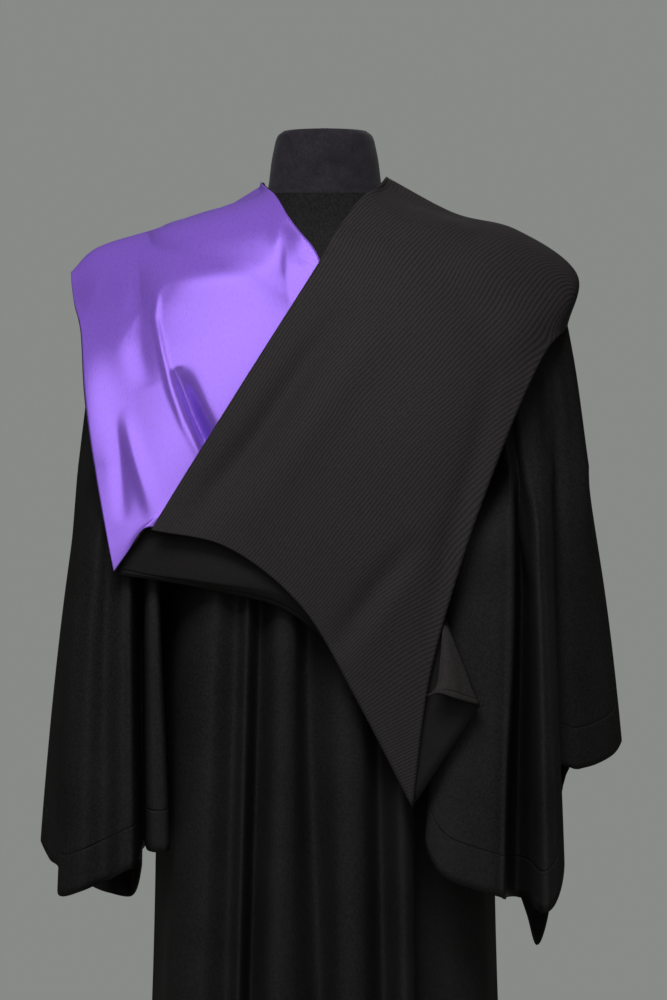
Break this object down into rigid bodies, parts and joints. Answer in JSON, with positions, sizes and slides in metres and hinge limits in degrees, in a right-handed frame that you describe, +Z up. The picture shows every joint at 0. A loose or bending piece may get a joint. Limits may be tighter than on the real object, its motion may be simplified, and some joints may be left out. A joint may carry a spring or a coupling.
{
  "type": "graduation gown with hood on a dress form",
  "caption": "Black graduation gown with wide bell sleeves and a purple-lined hood across its back, worn by a limbless dress form on a round-footed stand.",
  "frame": {"origin": "centre of the stand's round foot, on the floor", "axes": "+Z up the stand; +X to the right as the gown's back is looked at; the gown's back faces -Y"},
  "size_m": [0.6487, 0.38, 1.5475],
  "materials": {
    "form_jersey": "black stretch jersey cover",
    "stand_steel": "satin black paint",
    "gown_crepe": "matte black crepe",
    "hood_rib": "matte black cloth with a fine diagonal rib",
    "hood_satin": "purple satin lining"
  },
  "bodies": {
    "root": {"form_body": "form_jersey", "stand_pole": "stand_steel", "stand_foot": "stand_steel", "gown_yoke": "gown_crepe", "gown_back": "gown_crepe", "gown_front_right": "gown_crepe", "gown_front_left": "gown_crepe", "gown_sleeve_right": "gown_crepe", "gown_sleeve_left": "gown_crepe", "hood_shell_right": "hood_rib", "hood_shell_left": "hood_rib", "hood_under_layer": "hood_rib", "hood_corner": "hood_rib", "hood_lining_left": "hood_satin"}
  },
  "joints": []
}
